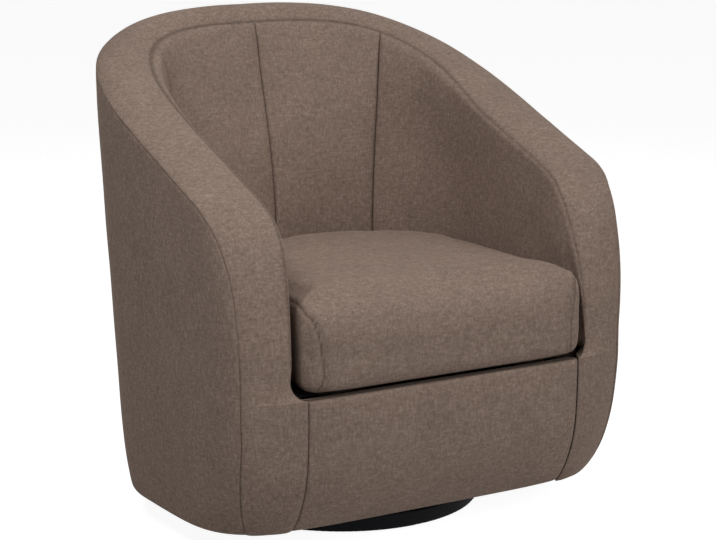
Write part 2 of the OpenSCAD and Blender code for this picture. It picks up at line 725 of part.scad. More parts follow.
module seat_cushion() {
  n = cushion_cols;
  m = len(cushion_profile);
  rings = [for (g = cushion_profile) [for (k = [0:n - 1]) cushion_point(360*k/n, g)]];
  low = [cushion_pull[0], cushion_pull[1], cushion_z];
  peak = [cushion_pull[0], cushion_pull[1], cushion_z + cushion_edge_h + cushion_crown];
  sides = [for (r = [0:m - 2], k = [0:n - 1], half = [0, 1])
    let(a = r*n + k, b = r*n + (k + 1) % n) half == 0 ? [a, b, b + n] : [a, b + n, a + n]];
  ends = concat([for (k = [0:n - 1]) [m*n, (k + 1) % n, k]],
    [for (k = [0:n - 1]) [m*n + 1, (m - 1)*n + k, (m - 1)*n + (k + 1) % n]]);
  color(cloth) polyhedron(concat([for (r = rings, q = r) q], [low, peak]), concat(sides, ends),
    convexity = 4);
}
// Zip across the cushion's back, just clear of the cloth
zip_turn = 44;
zip_z = cushion_z + 46;
zip_h = 10;
function zip_line(gap) = [for (k = [0:16]) let(p = mix(-zip_turn, zip_turn, k/16),
  r = cushion_plan(p) + gap) [r*sin(p) + cushion_shift, r*cos(p)]];
module cushion_zip() {
  inside = zip_line(0.5);
  outside = zip_line(1.8);
  color(lining) translate([0, 0, zip_z]) linear_extrude(zip_h)
    polygon(concat(inside, [for (k = [16:-1:0]) outside[k]]));
}

floor_pad();
base_disc();
lower_plate();
lower_plate_screws();
pivot_bolt();
pivot_washer();
pivot_nut();
ball_cage();
bearing_balls();
upper_plate();
swivel_bolts();
swivel_bolt_washers();
tee_nuts();
dust_cover();
base_board();
swivel_rail_front();
swivel_rail_back();
front_rail();
side_rail_left();
side_rail_right();
back_rail();
corner_blocks();
arm_post_left();
arm_post_right();
side_post_left();
side_post_right();
back_post_left();
back_post_right();
top_rail();
spring_clips();
seat_springs();
deck_cloth();
outside_left();
outside_right();
outside_back();
border_band();
front_panel();
inside_arm_left();
inside_arm_right();
inside_back_left();
inside_back_right();
seat_cushion();
cushion_zip();
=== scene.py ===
import json
import math
from functools import lru_cache

import bmesh
import bpy
from mathutils import Matrix, Vector, kdtree, noise
from mathutils.bvhtree import BVHTree


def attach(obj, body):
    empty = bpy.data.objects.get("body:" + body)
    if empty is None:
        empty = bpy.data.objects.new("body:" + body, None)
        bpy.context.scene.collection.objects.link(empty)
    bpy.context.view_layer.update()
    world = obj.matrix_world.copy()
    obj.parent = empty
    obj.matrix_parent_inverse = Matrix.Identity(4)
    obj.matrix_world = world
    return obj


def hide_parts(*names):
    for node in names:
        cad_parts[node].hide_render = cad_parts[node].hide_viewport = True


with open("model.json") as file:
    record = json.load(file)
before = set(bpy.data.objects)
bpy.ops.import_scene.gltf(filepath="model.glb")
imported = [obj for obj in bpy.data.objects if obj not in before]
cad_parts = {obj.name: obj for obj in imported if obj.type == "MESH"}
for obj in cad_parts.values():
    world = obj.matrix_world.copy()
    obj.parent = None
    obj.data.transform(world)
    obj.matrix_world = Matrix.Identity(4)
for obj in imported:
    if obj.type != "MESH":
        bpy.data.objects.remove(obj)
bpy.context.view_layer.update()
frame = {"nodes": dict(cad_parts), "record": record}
print("frame loaded,", len(frame["nodes"]), "CAD nodes")

# Shapes are worked out in millimetres, as in the part's source, and scaled when a mesh is made
metre = 0.001


def clamp01(v):
    return min(1.0, max(0.0, v))


def smooth(v):
    c = clamp01(v)
    return c*c*(3 - 2*c)


def mix(a, b, k):
    return a + (b - a)*k


def gauss(d, width):
    return math.exp(-(d/width)**2)


def superellipse(degrees, a, b, power):
    angle = math.radians(degrees)
    return ((abs(math.sin(angle))/a)**power + (abs(math.cos(angle))/b)**power)**(-1/power)


def roundOff(k, power):
    return max(0.0, 1 - abs(k)**power)**(1/power)


def mirrored(q):
    return Vector((-q.x, q.y, q.z))


# The chair's outer form, with the same values as the part's source
body = dict(
    width=736, hem=45, front=320, back=252, backLean=114, backHeight=760, slope=0.376,
    hemRoll=170, hemTuck=30, sideTuck=7, backTuck=22, hemSteep=0.98, hemRound=130, hemCut=26,
    wideHeight=440, topDraw=5,
    rakeHeight=270, rakeSpan=250, frontRake=51,
    hemPower=5.2, frontPower=8.2, frontSpan=200, highPower=12, highStart=300, highSpan=180,
    backPower=2.2, topPower=2.9,
    seamAngle=130, hemSwing=3, swingHeight=200,
    bendY=-188, bendReach=57, dropHeight=314, dropReach=160,
)


def rise(z):
    return clamp01((z - body["hem"])/(body["backHeight"] - body["hem"]))


def tuck(z, depth):
    k = clamp01((body["hem"] + body["hemRoll"] - z)/body["hemRoll"])
    return depth*(1 - math.sqrt(1 - body["hemSteep"]*k*k))


def halfWidth(z):
    k = clamp01((z - body["wideHeight"])/(body["backHeight"] - body["wideHeight"]))
    return body["width"]/2 - tuck(z, body["sideTuck"]) - body["topDraw"]*k**1.5


def halfFront(z):
    rake = clamp01((z - body["rakeHeight"])/body["rakeSpan"])
    low = clamp01((body["hem"] + body["hemRound"] - z)/body["hemRound"])
    return body["front"] - tuck(z, body["hemTuck"]) - body["frontRake"]*rake**2 - body["hemCut"]*low**2


def halfBack(z):
    return body["back"] - tuck(z, body["backTuck"]) + body["backLean"]*rise(z)


def cornerPower(z):
    low = mix(body["hemPower"], body["frontPower"], clamp01((z - body["hem"])/body["frontSpan"]))
    return mix(low, body["highPower"], clamp01((z - body["highStart"])/body["highSpan"]))


def outer(degrees, z, inset=0.0):  # plan angle from the back centre, positive towards +X
    if math.cos(math.radians(degrees)) < 0:
        r = superellipse(degrees, halfWidth(z), halfFront(z), cornerPower(z))
    else:
        power = mix(body["backPower"], body["topPower"], rise(z))
        r = superellipse(degrees, halfWidth(z), halfBack(z), power)
    angle = math.radians(degrees)
    return Vector(((r - inset)*math.sin(angle), (r - inset)*math.cos(angle), z))


def sideX(y, z):
    return halfWidth(z)*roundOff(y/halfFront(z), cornerPower(z))


def faceY(x, z):
    return -halfFront(z)*roundOff(x/halfWidth(z), cornerPower(z))


def seamHeight(y):
    return body["backHeight"] - body["slope"]*(body["back"] + body["backLean"] - y)


def swung(degrees, z):  # the corner seam swings back a little towards the hem
    low = clamp01((body["swingHeight"] - z)/body["swingHeight"])
    return degrees - body["hemSwing"]*low*clamp01((degrees - 90)/(body["seamAngle"] - 90))


def cornerPoint(z):
    return outer(swung(body["seamAngle"], z), z)


def bendPoint(k):  # the seam in side view, where the slope bends down the front corner
    top = Vector((body["bendY"], seamHeight(body["bendY"])))
    low = Vector((cornerPoint(body["dropHeight"]).y, body["dropHeight"]))
    leave = top - body["bendReach"]*Vector((1, body["slope"])).normalized()
    arrive = low + Vector((0, body["dropReach"]))
    j = 1 - k
    return j*j*j*top + 3*j*j*k*leave + 3*j*k*k*arrive + k*k*k*low


# Border band. Stations run from 0 at the back centre to footEnd at the arm's foot, on the left side
band = dict(
    armWidth=104, backWidth=71, armCrown=10, bendCrown=5, backCrown=23, crownPower=2.3, armDrop=0, backDrop=8,
    gapHeight=263, panelX=245, armFrontX=267, armFrontBack=12, cornerRadius=27,
    thick=26, lip=8, lipDeep=10, lipFold=4.5, seamDip=1.6, seamSoft=2.8, paintedShade=0.45,
    pucker=0.5, puckerPitch=21, puckerReach=12, puckerStart=4, wave=0.9, wavePitch=85,
    ringsPerStation=8, columns=14, footRound=3.5, footDrop=0.8,
)
sideStation, slopeEnd, bendEnd, cornerStart, cornerEnd, footEnd = 12, 16, 24, 26, 32, 38


def footHeight(i):  # stations lie closer where the inner seam rounds the corner above the front panel
    corner = band["gapHeight"] + band["cornerRadius"]
    if i <= cornerStart:
        return mix(body["dropHeight"], corner, (i - bendEnd)/(cornerStart - bendEnd))
    if i <= cornerEnd:
        return corner - band["cornerRadius"]*math.cos(math.pi/2*(cornerEnd - i)/(cornerEnd - cornerStart))
    return mix(band["gapHeight"], body["hem"], (i - cornerEnd)/(footEnd - cornerEnd))


@lru_cache(maxsize=None)
def outerSeam(i):
    if i < 0:
        return mirrored(outerSeam(-i))
    if i <= sideStation:
        degrees = 90*i/sideStation
        z = body["backHeight"]
        for _ in range(8):
            z = seamHeight(outer(degrees, z).y)
        return mirrored(outer(degrees, z))
    if i < bendEnd:
        if i <= slopeEnd:
            y = body["bendY"]*(i - sideStation)/(slopeEnd - sideStation)
            z = seamHeight(y)
        else:
            y, z = bendPoint((i - slopeEnd)/(bendEnd - slopeEnd))
        return Vector((-sideX(y, z), y, z))
    return mirrored(cornerPoint(footHeight(min(i, footEnd))))


def footSeam(z):  # a rounded corner leads from the arm's inner edge to the front panel's seam
    lift = clamp01((z - band["gapHeight"])/band["cornerRadius"])
    k = math.sqrt(1 - (1 - lift)**2)
    x = mix(band["panelX"], band["armFrontX"], k)
    return Vector((-x, faceY(x, z) + band["armFrontBack"]*k, z))


def armSeam(i):
    o = outerSeam(i)
    w = mix(band["backWidth"], band["armWidth"], smooth(abs(i)/(sideStation + 2)))
    drop = mix(band["backDrop"], band["armDrop"], smooth(abs(i)/sideStation))
    p = math.radians(max(-90, min(90, 90*i/sideStation)))
    return Vector((o.x + w*math.sin(p), o.y - w*math.cos(p), o.z - drop))


@lru_cache(maxsize=None)
def innerSeam(i):
    if i <= slopeEnd:
        return armSeam(i)
    if i >= bendEnd:
        return footSeam(outerSeam(i).z)
    a = armSeam(i)
    return a.lerp(footSeam(a.z), smooth((i - slopeEnd)/(bendEnd - slopeEnd)))


@lru_cache(maxsize=None)
def seamRun(i):
    a, b = min(footEnd, i + 0.5), i - 0.5
    return (outerSeam(a) - outerSeam(b) + innerSeam(a) - innerSeam(b)).normalized()


def bandUp(i):
    way = seamRun(i).lerp(Vector((0, 0, -1)), smooth((i - bendEnd + 1)/3))
    return way.cross(innerSeam(i) - outerSeam(i)).normalized()


# Mesh making: a slab is two grids of points joined round their rim, a tube is a row of closed rings
def edgeLoop(rows, cols):
    return ([c for c in range(cols - 1)] + [r*cols + cols - 1 for r in range(rows - 1)]
            + [(rows - 1)*cols + c for c in range(cols - 1, 0, -1)]
            + [r*cols for r in range(rows - 1, 0, -1)])


def slabShape(front, back):
    rows, cols = len(front), len(front[0])
    count = rows*cols
    points = [q for row in front for q in row] + [q for row in back for q in row]
    faces = []
    for r in range(rows - 1):
        for c in range(cols - 1):
            a = r*cols + c
            faces.append((a, a + 1, a + cols + 1, a + cols))
            faces.append((count + a, count + a + cols, count + a + cols + 1, count + a + 1))
    loop = edgeLoop(rows, cols)
    for k, a in enumerate(loop):
        b = loop[(k + 1) % len(loop)]
        faces.append((a, a + count, b + count, b))
    return points, faces


def tubeShape(rings):
    n, m = len(rings[0]), len(rings)
    points = [q for ring in rings for q in ring]
    faces = [(r*n + k, r*n + (k + 1) % n, (r + 1)*n + (k + 1) % n, (r + 1)*n + k)
             for r in range(m - 1) for k in range(n)]
    faces += [tuple(range(n)), tuple((m - 1)*n + k for k in range(n))]
    return points, faces


def makePiece(name, shape, bodyName, nodes, material, shades=None, subdivide=1):
    points, faces = shape
    mesh = bpy.data.meshes.new(name)
    mesh.from_pydata([q*metre for q in points], [], faces)
    build = bmesh.new()
    build.from_mesh(mesh)
    bmesh.ops.recalc_face_normals(build, faces=build.faces)
    build.to_mesh(mesh)
    build.free()
    mesh.shade_smooth()
    if shades:
        shade = mesh.attributes.new("paintedShade", "FLOAT", "POINT")
        shade.data.foreach_set("value", shades)
    mesh.materials.append(material)
    piece = bpy.data.objects.new(name, mesh)
    bpy.context.collection.objects.link(piece)
    if subdivide:
        soft = piece.modifiers.new("soft", "SUBSURF")
        soft.levels = soft.render_levels = subdivide
    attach(piece, bodyName)
    if nodes:
        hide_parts(*nodes)
    return piece


def spread(a, b, steps):
    return [mix(a, b, k/steps) for k in range(steps + 1)]


nearSeam = [0, 1.2, 3, 6, 10.5]  # how far from a seam the first rows of points lie
shadeLineWidth = 1.4  # half width of the line of painted shade along a seam


def edgeSteps(length, step):  # distances across a piece, closer at both seams
    fine = nearSeam + [16]
    middle = spread(fine[-1], length - fine[-1], max(2, round((length - 2*fine[-1])/step)))[1:-1]
    return fine + middle + [length - d for d in reversed(fine)]


# Painted shade: how dark the line of shade along a seam is at this distance from it
def paintedSeamLine(darkness, distance):
    return darkness*gauss(distance, shadeLineWidth)


def faceShades(shades):  # a slab's back has as many points as its face, and no painted shade
    flat = [shade for row in shades for shade in row]
    return flat + [0.0]*len(flat)


# Materials
noiseLow, noiseHigh = 0.3, 0.7  # most values of a noise texture lie between these
grainDepth, markDepth = 0.0004, 0.0002  # how far a wood's grain and a metal's marks stand out, in metres


def linear(text):
    values = [int(text[k:k + 2], 16)/255 for k in (1, 3, 5)]
    return tuple(v/12.92 if v <= 0.04045 else ((v + 0.055)/1.055)**2.4 for v in values) + (1.0,)


def addNode(tree, kind, inputs=None, **settings):
    node = tree.nodes.new(kind)
    for key, value in settings.items():
        setattr(node, key, value)
    for key, value in (inputs or {}).items():
        if isinstance(value, bpy.types.NodeSocket):
            tree.links.new(value, node.inputs[key])
        else:
            node.inputs[key].default_value = value
    return node


def newMaterial(name):
    material = bpy.data.materials.new(name)
    material.use_nodes = True
    material.node_tree.nodes.clear()
    return material, material.node_tree


def closeMaterial(tree, inputs):
    surface = addNode(tree, "ShaderNodeBsdfPrincipled", inputs)
    addNode(tree, "ShaderNodeOutputMaterial", {"Surface": surface.outputs[0]})


# Heathered chenille: soft, matt, warm taupe with faint flecks that run along the two yarn directions.
# A real yarn is about 1 mm wide; one pixel of the photo covers 1.6 mm, so the flecks are drawn
# 2 to 3 mm wide with little contrast, which is what the photo shows of them
upholstery = dict(
    # seam is no thread colour: it is a near-black painted shade, mixed in by the seam shade attribute along
    # seams and in the gaps where shade falls
    dark="#79685c", middle="#8a776b", light="#9b897d", seam="#1c1512",
    fleckWidth=2.0, fleckLength=6, fleckScale=0.55, fleckLow=1.1, fleckHigh=1.9,
    cloudSize=70, cloudDark=0.94, cloudLight=1.05,
    roughness=0.95, specular=0.2, sheen=0.18, sheenRoughness=0.4, bump=0.35, bumpDepth=0.6,
)


def wovenUpholstery():
    material, tree = newMaterial("heatheredChenille")
    place = addNode(tree, "ShaderNodeTexCoord").outputs["Object"]
    wide, long = 1000/upholstery["fleckWidth"], 1000/upholstery["fleckLength"]
    flecks = []
    for scale in ((wide, wide, long), (long, long, wide), (wide, wide, wide)):  # warp, weft and nap
        stretched = addNode(tree, "ShaderNodeMapping", {"Vector": place, "Scale": scale})
        fleck = addNode(tree, "ShaderNodeTexNoise", {
            "Vector": stretched.outputs[0], "Scale": upholstery["fleckScale"],
            "Detail": 2.0, "Roughness": 0.6})
        flecks.append(fleck.outputs["Fac"])
    yarns = addNode(tree, "ShaderNodeMath", {0: flecks[0], 1: flecks[1]}, operation="ADD")
    yarns = addNode(tree, "ShaderNodeMath", {0: yarns.outputs[0], 1: flecks[2]}, operation="ADD")
    heather = addNode(tree, "ShaderNodeMapRange", {
        "Value": yarns.outputs[0], "From Min": upholstery["fleckLow"], "From Max": upholstery["fleckHigh"]})
    cloud = addNode(tree, "ShaderNodeTexNoise", {
        "Vector": place, "Scale": 1000/upholstery["cloudSize"], "Detail": 3.0, "Roughness": 0.55})
    ramp = addNode(tree, "ShaderNodeValToRGB", {"Fac": heather.outputs[0]})
    ramp.color_ramp.elements[0].color = linear(upholstery["dark"])
    ramp.color_ramp.elements[1].color = linear(upholstery["light"])
    ramp.color_ramp.elements.new(0.5).color = linear(upholstery["middle"])
    nap = addNode(tree, "ShaderNodeMapRange", {
        "Value": cloud.outputs["Fac"], "From Min": noiseLow, "From Max": noiseHigh,
        "To Min": upholstery["cloudDark"], "To Max": upholstery["cloudLight"]})
    # A colour mix node takes its share at input 0 and its two colours at inputs 6 and 7
    brushed = addNode(tree, "ShaderNodeMix", {
        0: 1.0, 6: ramp.outputs["Color"], 7: nap.outputs[0]}, data_type="RGBA", blend_type="MULTIPLY")
    # Painted shade: each point's seam shade attribute mixes the cloth towards the near-black seam colour,
    # along seams and in the gaps where shade falls
    shade = addNode(tree, "ShaderNodeAttribute", attribute_name="paintedShade")
    coloured = addNode(tree, "ShaderNodeMix", {
        0: shade.outputs["Fac"], 6: brushed.outputs[2], 7: linear(upholstery["seam"])}, data_type="RGBA")
    relief = addNode(tree, "ShaderNodeBump", {
        "Height": heather.outputs[0], "Strength": upholstery["bump"],
        "Distance": upholstery["bumpDepth"]*metre})
    closeMaterial(tree, {
        "Base Color": coloured.outputs[2], "Roughness": upholstery["roughness"], "Normal": relief.outputs[0],
        "Sheen Weight": upholstery["sheen"], "Sheen Roughness": upholstery["sheenRoughness"],
        "Sheen Tint": linear(upholstery["light"]), "Specular IOR Level": upholstery["specular"]})
    return material


# Grain and marks are sized in millimetres, and along is the axis that a grain follows
def grainMaterial(name, dark, light, roughness, along, grainWidth, grainLength, relief, gloss=0.5):
    material, tree = newMaterial(name)
    place = addNode(tree, "ShaderNodeTexCoord").outputs["Object"]
    scale = [1000/grainWidth]*3
    scale[along] = 1000/grainLength
    stretched = addNode(tree, "ShaderNodeMapping", {"Vector": place, "Scale": scale})
    grain = addNode(tree, "ShaderNodeTexNoise", {
        "Vector": stretched.outputs[0], "Scale": 1.0, "Detail": 4.0, "Roughness": 0.6, "Distortion": 0.4})
    ramp = addNode(tree, "ShaderNodeValToRGB", {"Fac": grain.outputs["Fac"]})
    ramp.color_ramp.elements[0].position = noiseLow
    ramp.color_ramp.elements[0].color = linear(dark)
    ramp.color_ramp.elements[1].position = noiseHigh
    ramp.color_ramp.elements[1].color = linear(light)
    bump = addNode(tree, "ShaderNodeBump", {
        "Height": grain.outputs["Fac"], "Strength": relief, "Distance": grainDepth})
    closeMaterial(tree, {
        "Base Color": ramp.outputs["Color"], "Roughness": roughness, "Normal": bump.outputs[0],
        "Specular IOR Level": gloss})
    return material


def metalMaterial(name, dark, light, smoothest, roughest, markSize, relief):
    material, tree = newMaterial(name)
    place = addNode(tree, "ShaderNodeTexCoord").outputs["Object"]
    marks = addNode(tree, "ShaderNodeTexNoise", {
        "Vector": place, "Scale": 1000/markSize, "Detail": 5.0, "Roughness": 0.65})
    ramp = addNode(tree, "ShaderNodeValToRGB", {"Fac": marks.outputs["Fac"]})
    ramp.color_ramp.elements[0].color = linear(dark)
    ramp.color_ramp.elements[1].color = linear(light)
    rough = addNode(tree, "ShaderNodeMapRange", {
        "Value": marks.outputs["Fac"], "From Min": noiseLow, "From Max": noiseHigh,
        "To Min": smoothest, "To Max": roughest})
    bump = addNode(tree, "ShaderNodeBump", {
        "Height": marks.outputs["Fac"], "Strength": relief, "Distance": markDepth})
    closeMaterial(tree, {
        "Base Color": ramp.outputs["Color"], "Metallic": 1.0, "Roughness": rough.outputs[0],
        "Normal": bump.outputs[0]})
    return material


# Spun-bonded lining: dull black with a small dimple pattern, dots about 2.5 mm apart
spunBonded = dict(dark="#19191a", light="#303032", dotPitch=2.5, fibreWidth=1.6, roughness=0.85, bump=0.4,
                  bumpDepth=0.3)


def liningMaterial():
    material, tree = newMaterial("spunBondedLining")
    place = addNode(tree, "ShaderNodeTexCoord").outputs["Object"]
    dots = addNode(tree, "ShaderNodeTexVoronoi", {
        "Vector": place, "Scale": 1000/spunBonded["dotPitch"]}, feature="F1")
    fibres = addNode(tree, "ShaderNodeTexNoise", {
        "Vector": place, "Scale": 1000/spunBonded["fibreWidth"], "Detail": 3.0, "Roughness": 0.7})
    ramp = addNode(tree, "ShaderNodeValToRGB", {"Fac": fibres.outputs["Fac"]})
    ramp.color_ramp.elements[0].color = linear(spunBonded["dark"])
    ramp.color_ramp.elements[1].color = linear(spunBonded["light"])
    bump = addNode(tree, "ShaderNodeBump", {
        "Height": dots.outputs["Distance"], "Strength": spunBonded["bump"],
        "Distance": spunBonded["bumpDepth"]*metre})
    closeMaterial(tree, {
        "Base Color": ramp.outputs["Color"], "Roughness": spunBonded["roughness"], "Normal": bump.outputs[0]})
    return material


chenille = wovenUpholstery()
lining = liningMaterial()
finishes = {
    # Matt black paint on a turned wooden disc: even and dull, with the faintest grain under it
    "base_black": grainMaterial("mattBlackPaintOnWood", "#0c0d0f", "#141518", roughness=0.7, along=0,
                                grainWidth=3.0, grainLength=60.0, relief=0.12, gloss=0.1),
    # Non-slip sheet: dark grey, dull, with a fine stippled grain
    "non_slip_pad": grainMaterial("stippledRubber", "#242426", "#303032", roughness=0.8, along=2,
                                  grainWidth=1.0, grainLength=1.0, relief=0.25),
    # Cold-pressed steel sheet and drawn spring wire: grey, oiled, with soft rolling marks
    "pressed_steel": metalMaterial("pressedSteel", "#77797b", "#8f9193", smoothest=0.32, roughest=0.5,
                                   markSize=9.0, relief=0.1),
    # Zinc-plated screws and bolts: brighter and slightly mottled
    "zinc_steel": metalMaterial("zincPlatedSteel", "#a5a8a4", "#bfc1bc", smoothest=0.25, roughest=0.42,
                                markSize=5.0, relief=0.08),
    # Bare birch plywood: pale, long faint grain
    "plywood": grainMaterial("birchPlywood", "#b6935f", "#d0b184", roughness=0.62, along=0,
                             grainWidth=3.5, grainLength=90.0, relief=0.2),
    # Sawn softwood rails and posts: yellow-brown, dull, with saw-roughened grain
    "timber": grainMaterial("sawnPine", "#b08a56", "#d3b482", roughness=0.72, along=2,
                            grainWidth=4.0, grainLength=110.0, relief=0.35),
    "dark_lining": lining,
    "woven_upholstery": chenille,
}
for part in frame["record"]["subparts"]:
    node = frame["nodes"][part["node"]]
    node.data.materials.clear()
    node.data.materials.append(finishes[part["material_slot"]])
print("materials done")


# The border band: crowned across its width, with a sewn valley along both seams
def crownHeight(i):
    crown = mix(band["backCrown"], band["armCrown"], smooth(abs(i)/sideStation))
    return mix(crown, band["bendCrown"], smooth((i - sideStation)/(bendEnd - sideStation)))


def pucker(q, d):  # small gathers where the cloth is drawn into a seam
    wave = noise.noise(q/band["puckerPitch"])
    slow = band["wave"]*noise.noise(q/band["wavePitch"] + Vector((3, 7, 1)))
    return band["pucker"]*wave*gauss(d, band["puckerReach"]) + slow


def bandRing(i):
    o, across = outerSeam(i), innerSeam(i) - outerSeam(i)
    width, up = across.length, bandUp(i)
    down = Vector((0, 0, -1)).lerp(-up, smooth((i - slopeEnd)/(bendEnd - slopeEnd))).normalized()
    ring, shades = [], []
    middle = spread(nearSeam[-1], width - nearSeam[-1], band["columns"])[1:-1]
    distances = nearSeam + middle + [width - d for d in reversed(nearSeam)]
    for d in distances:
        s = d/width
        near = min(d, width - d)
        crown = crownHeight(i)*(1 - abs(2*s - 1)**band["crownPower"])
        q = o + across*s
        lift = crown - band["seamDip"]*gauss(near, band["seamSoft"])
        lift += pucker(q, near)*smooth(near/band["puckerStart"])
        ring.append(q + up*lift)
        # Painted shade: a dark line along both seams, where shade falls in the sewn valley
        shades.append(paintedSeamLine(band["paintedShade"], near))
    a, b = band["lip"]/width, (band["lip"] + band["lipDeep"])/width
    for s, depth in ((1 - a, band["lipFold"]), (1 - b, band["thick"]), (0.5, band["thick"]),
                     (b, band["thick"]), (a, band["lipFold"])):
        ring.append(o + across*s + down*depth)
        shades.append(0.0)
    return ring, shades


def makeBand():
    count = footEnd*band["ringsPerStation"]
    rings, shades = [], []
    for k in range(-count, count + 1):
        i = k/band["ringsPerStation"]
        ring, shade = bandRing(abs(i))
        rings.append(ring if i > 0 else [mirrored(q) for q in ring])
        shades.append(shade)
    for end in (0, -1):  # the cloth turns in under each foot
        ring = rings[end]
        centre = sum(ring, Vector())/len(ring)
        turned = [q + (centre - q).normalized()*band["footRound"] for q in ring]
        for q, old in zip(turned, ring):
            q.z = old.z - band["footDrop"]
        rings.insert(0 if end == 0 else len(rings), turned)
        shades.insert(0 if end == 0 else len(shades), shades[end])
    piece = makePiece("borderBand", tubeShape(rings), "seat", ["border_band"], chenille,
                      [shade for row in shades for shade in row])


makeBand()
print("border band done")

# Outside panels: thin padding under tightly drawn cloth, from under the outer seam to the hem
outside = dict(
    thick=10, topGap=0.4, edgeRound=3.5, edgeSoft=3.2, hemRound=3, hemReach=6, hemRows=(3, 1.2, 0),
    hemTurns=(3, 11), hemLap=0.7, frontStop=0.05, seamDip=1.8, seamSoft=3.2,
    topShade=0.45, sideShade=0.4, fullness=1.6, fullReach=60, wave=0.8, wavePitch=110, waveReach=30,
    backSeam=5, rows=34, sideColumns=74, backColumns=44,
)


def outsideColumn(i, side):
    top = outerSeam(i)
    degrees = math.degrees(math.atan2(-top.x, top.y))
    start = top.z - outside["topGap"]
    front, back, shades = [], [], []
    length = start - body["hem"]
    middle = spread(nearSeam[-1], length - outside["hemReach"], outside["rows"])[1:]
    reach = outside["fullReach"]
    for drop in nearSeam + middle + [length - d for d in outside["hemRows"]]:
        z = start - drop
        turned = swung(degrees, z)
        topEdge = outside["edgeRound"]*gauss(drop, outside["edgeSoft"])
        hemEdge = outside["hemRound"]*(1 - roundOff(clamp01(1 - (z - body["hem"])/outside["hemReach"]), 2))
        seam = outside["seamDip"]*gauss(side, outside["seamSoft"])
        full = outside["fullness"]*smooth(drop/reach)*smooth((length - drop)/reach)*smooth(side/reach)
        lift = noise.noise(outer(turned, z)/outside["wavePitch"])*smooth(drop/outside["waveReach"])
        inset = topEdge + hemEdge + seam - full - outside["wave"]*lift
        front.append(mirrored(outer(turned, z, inset)))
        back.append(mirrored(outer(turned, z, outside["thick"])))
        # Painted shade: dark lines along the top seam and the corner seams, where shade falls in the folds
        shades.append(max(paintedSeamLine(outside["topShade"], drop), paintedSeamLine(outside["sideShade"], side)))
    bottom = front[-1].copy()  # turned under the board
    for inset in outside["hemTurns"]:
        out = Vector((bottom.x, bottom.y, 0)).normalized()
        front.append(bottom - out*inset + Vector((0, 0, -outside["hemLap"])))
        back.append(back[-1].copy())
        shades.append(0.0)
    return front, back, shades


def makeOutside(name, node, stations, flip, seamStations):
    fronts, backs, shades = [], [], []
    for i in stations:
        side = min((outerSeam(i) - outerSeam(e)).length for e in seamStations)
        front, back, shade = outsideColumn(abs(i), side)
        if (i < 0) != flip:
            front, back = [mirrored(q) for q in front], [mirrored(q) for q in back]
        fronts.append(front)
        backs.append(back)
        shades.append(shade)
    piece = makePiece(name, slabShape(fronts, backs), "seat", [node], chenille,
                      faceShades(shades))


seamAt = outside["backSeam"]
fineEdge = [0, 0.03, 0.08, 0.16, 0.3, 0.5]  # columns beside a corner seam, in stations
sideStations = ([seamAt + e for e in fineEdge]
                + spread(seamAt + fineEdge[-1], bendEnd - outside["frontStop"], outside["sideColumns"])[1:])
makeOutside("outsideLeft", "outside_left", sideStations, False, [seamAt])
makeOutside("outsideRight", "outside_right", sideStations, True, [seamAt])
backStations = ([-seamAt + e for e in fineEdge]
                + spread(-seamAt + fineEdge[-1], seamAt - fineEdge[-1], outside["backColumns"])[1:-1]
                + [seamAt - e for e in reversed(fineEdge)])
makeOutside("outsideBack", "outside_back", backStations, False, [-seamAt, seamAt])
print("outside panels done")

# Inside pads: the cloth is sewn to the band, rolls over a soft edge, and falls to behind the deck.
# The panels behind the sitter are fuller between their three upright seams
inside = dict(
    halfWidth=252, back=210, power=2.3, level=390, levelDrop=80, spread=1.8, tuckHeight=240, topGap=0.6,
    thick=20, thinnest=1.5, thickReach=30, frontFlare=20, flareLength=60, footBack=22, footReach=25,
    rollBack=7, rollArm=6, rollFront=6, rollCorner=9, cornerStation=8, cornerSpan=3, rollFall=140,
    rollFade=60, sideSeam=5.75, fullness=7, fullReach=80, fullSpan=95, seamDip=2.6, seamSoft=3.4,
    dipReach=10, topShade=0.45, sideShade=0.38, wave=0.9, wavePitch=95, ripple=0.5, ripplePitch=38,
    waveReach=20, waveAside=12, frontStop=0.02, rows=40, backColumns=26, armColumns=64,
)
padDrops = [0, 0.8, 2.2, 4.5, 8, 12.5, 18, 25, 34]  # rows of points just below the band
padEdge = [0, 0.03, 0.08, 0.16, 0.28]  # columns beside an upright seam, in stations


def rollSize(i):
    size = mix(inside["rollBack"], inside["rollArm"], smooth((i - 2)/(sideStation - 3)))
    size += inside["rollCorner"]*gauss(i - inside["cornerStation"], inside["cornerSpan"])
    return mix(size, inside["rollFront"], smooth((i - slopeEnd + 1)/(bendEnd - slopeEnd)))


@lru_cache(maxsize=None)
def padFacts(i):
    top = innerSeam(i)
    frontY = innerSeam(bendEnd).y
    if top.y < 0:
        flare = inside["frontFlare"]*(1 - smooth((top.y - frontY)/inside["flareLength"]))
        foot, out = Vector((-inside["halfWidth"] - flare, top.y)), Vector((-1, 0))
    else:
        degrees = math.degrees(math.atan2(-top.x, top.y))
        r = superellipse(degrees, inside["halfWidth"], inside["back"], inside["power"])
        angle = math.radians(degrees)
        foot, out = Vector((-r*math.sin(angle), r*math.cos(angle))), Vector((top.x, top.y)).normalized()
    run = seamRun(i)
    return top, foot, out, math.hypot(run.x, run.y), frontY


